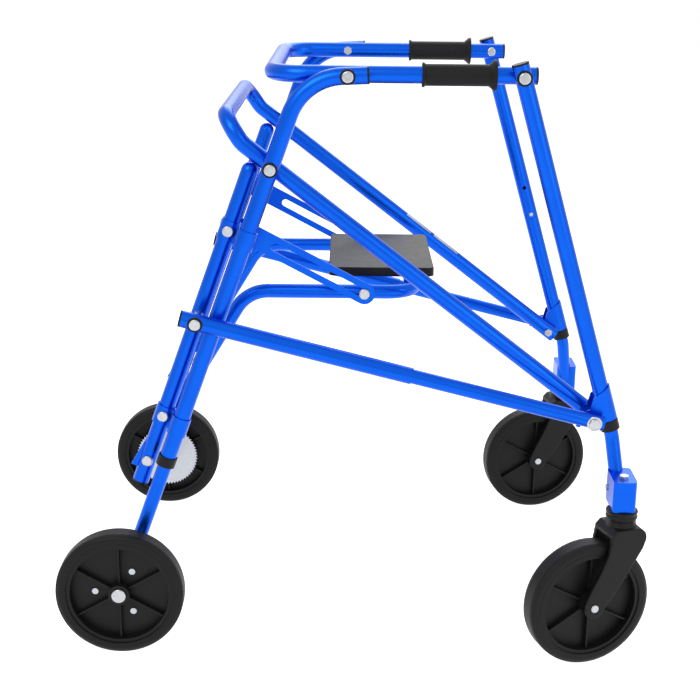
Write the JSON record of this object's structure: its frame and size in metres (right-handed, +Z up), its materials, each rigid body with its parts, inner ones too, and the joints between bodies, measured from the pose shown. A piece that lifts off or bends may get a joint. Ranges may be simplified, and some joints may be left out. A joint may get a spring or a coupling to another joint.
{
  "type": "walking frame",
  "caption": "Folding blue tube walking frame with rear wheels, swivel front casters, foam-gripped handle hoop, back hoop, telescoping side struts and a small flip-up seat.",
  "frame": {"origin": "on the floor under the middle of the whole footprint, casters as they stand at rest", "axes": "+X is the way the user faces and walks, +Y is the left of the user, +Z is up"},
  "size_m": [0.923, 0.7004, 0.9148],
  "materials": {
    "blue_anodised": "satin blue anodised aluminium",
    "black_plastic": "black moulded plastic",
    "black_rubber": "soft black rubber",
    "bright_steel": "zinc plated steel",
    "grey_nylon": "dark grey moulded nylon",
    "grey_tyre": "dark grey solid tyre",
    "black_seat": "black moulded seat with a fine grain"
  },
  "bodies": {
    "rear_frame": {"rear_leg_left": "blue_anodised", "rear_leg_right": "blue_anodised", "brace_tube_left": "blue_anodised", "brace_tube_right": "blue_anodised", "upper_clamps": "blue_anodised", "lower_clamps": "blue_anodised", "rear_plastic_fittings": "black_plastic", "rear_bolts": "bright_steel", "rear_pivot_rings": "black_plastic"},
    "back_frame": {"back_hoop": "blue_anodised"},
    "handle": {"handle_hoop": "blue_anodised", "handle_end_caps": "black_plastic", "grip_left": "black_rubber", "grip_right": "black_rubber", "handle_nuts": "bright_steel"},
    "front_legs": {"front_leg_left": "blue_anodised", "front_leg_right": "blue_anodised", "front_collars": "blue_anodised", "front_plastic_fittings": "black_plastic", "front_bolts": "bright_steel", "front_pivot_rings": "black_plastic"},
    "strut_outers": {"strut_outer_tubes": "blue_anodised", "strut_plugs": "black_plastic"},
    "strut_inners": {"strut_inner_tubes": "blue_anodised", "strut_bolts": "bright_steel"},
    "seat_frame": {"seat_tube": "blue_anodised", "seat_plate": "black_seat", "seat_brackets": "blue_anodised"},
    "link_pair": {"seat_links": "blue_anodised"},
    "pin_pair": {"seat_pins": "bright_steel"},
    "front_lower_left": {"front_lower_tube_left": "blue_anodised", "caster_housing_left": "blue_anodised", "caster_housing_bolt_left": "bright_steel"},
    "front_snap_left": {"front_button_left": "bright_steel"},
    "rear_lower_left": {"rear_lower_tube_left": "blue_anodised", "rear_axle_left": "bright_steel"},
    "rear_snap_left": {"rear_button_left": "bright_steel"},
    "pawl_left": {"ratchet_pawl_left": "bright_steel"},
    "rear_wheel_left": {"rear_rim_left": "grey_nylon", "rear_tyre_left": "grey_tyre", "ratchet_disc_left": "bright_steel"},
    "caster_left": {"caster_fork_left": "grey_nylon", "caster_hardware_left": "bright_steel"},
    "front_wheel_left": {"caster_rim_left": "grey_nylon", "caster_tyre_left": "grey_tyre"},
    "front_lower_right": {"front_lower_tube_right": "blue_anodised", "caster_housing_right": "blue_anodised", "caster_housing_bolt_right": "bright_steel"},
    "front_snap_right": {"front_button_right": "bright_steel"},
    "rear_lower_right": {"rear_lower_tube_right": "blue_anodised", "rear_axle_right": "bright_steel"},
    "rear_snap_right": {"rear_button_right": "bright_steel"},
    "pawl_right": {"ratchet_pawl_right": "bright_steel"},
    "rear_wheel_right": {"rear_rim_right": "grey_nylon", "rear_tyre_right": "grey_tyre", "ratchet_disc_right": "bright_steel"},
    "caster_right": {"caster_fork_right": "grey_nylon", "caster_hardware_right": "bright_steel"},
    "front_wheel_right": {"caster_rim_right": "grey_nylon", "caster_tyre_right": "grey_tyre"}
  },
  "joints": [
    {"name": "fold", "type": "hinge", "parent": "rear_frame", "child": "back_frame", "pos_m": [-0.11965, 0.01863, 0.7565], "axis": [0, 1, 0], "range_deg": [0, 53]},
    {"name": "handle_turn", "type": "hinge", "parent": "rear_frame", "child": "handle", "pos_m": [-0.008, 0.01863, 0.891], "axis": [0, 1, 0], "range_deg": [0, 81.47]},
    {"name": "front_leg_turn", "type": "hinge", "parent": "back_frame", "child": "front_legs", "pos_m": [0.37, 0.01863, 0.38], "axis": [0, 1, 0], "range_deg": [-22.03, 0]},
    {"name": "strut_turn", "type": "hinge", "parent": "rear_frame", "child": "strut_outers", "pos_m": [-0.23059, 0.01863, 0.531], "axis": [0, 1, 0], "range_deg": [0, 60.93]},
    {"name": "strut_slide", "type": "slide", "parent": "strut_outers", "child": "strut_inners", "axis": [0.9698, 0, -0.2438], "range_m": [-0.21345, 0]},
    {"name": "seat_lift", "type": "hinge", "parent": "rear_frame", "child": "seat_frame", "pos_m": [-0.27646, 0.01863, 0.36226], "axis": [0, -1, 0], "range_deg": [0, 28]},
    {"name": "link_turn", "type": "hinge", "parent": "rear_frame", "child": "link_pair", "pos_m": [-0.18415, 0.01863, 0.66], "axis": [0, -1, 0], "range_deg": [0, 34.41]},
    {"name": "pin_slide", "type": "slide", "parent": "link_pair", "child": "pin_pair", "axis": [0.8849, 0, -0.4658], "range_m": [-0.15014, 0]},
    {"name": "front_height_left", "type": "slide", "parent": "front_legs", "child": "front_lower_left", "axis": [-0.2853, 0, 0.9585], "range_m": [-0.0508, 0]},
    {"name": "rear_height_left", "type": "slide", "parent": "rear_frame", "child": "rear_lower_left", "axis": [0.3387, 0, 0.9409], "range_m": [-0.0508, 0]},
    {"name": "front_button_press_left", "type": "slide", "parent": "front_legs", "child": "front_snap_left", "axis": [0, 1, 0], "range_m": [0, 0.0024], "stiffness_N_per_m": 400},
    {"name": "rear_button_press_left", "type": "slide", "parent": "rear_frame", "child": "rear_snap_left", "axis": [0, 1, 0], "range_m": [0, 0.0024], "stiffness_N_per_m": 400},
    {"name": "caster_swivel_left", "type": "hinge", "parent": "front_lower_left", "child": "caster_left", "pos_m": [0.418, 0.32223, 0.248], "axis": [0, 0, 1], "continuous": true},
    {"name": "front_wheel_spin_left", "type": "hinge", "parent": "caster_left", "child": "front_wheel_left", "pos_m": [0.36695, 0.31231, 0.1], "axis": [-0.1908, 0.9816, 0], "continuous": true},
    {"name": "rear_wheel_spin_left", "type": "hinge", "parent": "rear_lower_left", "child": "rear_wheel_left", "pos_m": [-0.356, 0.31663, 0.1], "axis": [0, 1, 0], "continuous": true},
    {"name": "pawl_lift_left", "type": "hinge", "parent": "rear_lower_left", "child": "pawl_left", "pos_m": [-0.32756, 0.29653, 0.179], "axis": [0, 1, 0], "range_deg": [0, 22], "stiffness_Nm_per_rad": 0.05},
    {"name": "front_height_right", "type": "slide", "parent": "front_legs", "child": "front_lower_right", "axis": [-0.2853, 0, 0.9585], "range_m": [-0.0508, 0]},
    {"name": "rear_height_right", "type": "slide", "parent": "rear_frame", "child": "rear_lower_right", "axis": [0.3387, 0, 0.9409], "range_m": [-0.0508, 0]},
    {"name": "front_button_press_right", "type": "slide", "parent": "front_legs", "child": "front_snap_right", "axis": [0, -1, 0], "range_m": [0, 0.0024], "stiffness_N_per_m": 400},
    {"name": "rear_button_press_right", "type": "slide", "parent": "rear_frame", "child": "rear_snap_right", "axis": [0, -1, 0], "range_m": [0, 0.0024], "stiffness_N_per_m": 400},
    {"name": "caster_swivel_right", "type": "hinge", "parent": "front_lower_right", "child": "caster_right", "pos_m": [0.418, -0.28497, 0.248], "axis": [0, 0, 1], "continuous": true},
    {"name": "front_wheel_spin_right", "type": "hinge", "parent": "caster_right", "child": "front_wheel_right", "pos_m": [0.36855, -0.30104, 0.1], "axis": [-0.309, 0.9511, 0], "continuous": true},
    {"name": "rear_wheel_spin_right", "type": "hinge", "parent": "rear_lower_right", "child": "rear_wheel_right", "pos_m": [-0.356, -0.27937, 0.1], "axis": [0, 1, 0], "continuous": true},
    {"name": "pawl_lift_right", "type": "hinge", "parent": "rear_lower_right", "child": "pawl_right", "pos_m": [-0.32756, -0.25927, 0.179], "axis": [0, 1, 0], "range_deg": [0, 22], "stiffness_Nm_per_rad": 0.05}
  ],
  "couplings": [
    {"joint": "handle_turn", "follows": "fold", "ratio": 1.5369},
    {"joint": "front_leg_turn", "follows": "fold", "ratio": -0.41525},
    {"joint": "strut_turn", "follows": "fold", "ratio": 1.1492},
    {"joint": "strut_slide", "follows": "fold", "m_per_rad": -0.23064},
    {"joint": "link_turn", "follows": "seat_lift", "ratio": 1.2283},
    {"joint": "pin_slide", "follows": "seat_lift", "m_per_rad": -0.30703}
  ]
}
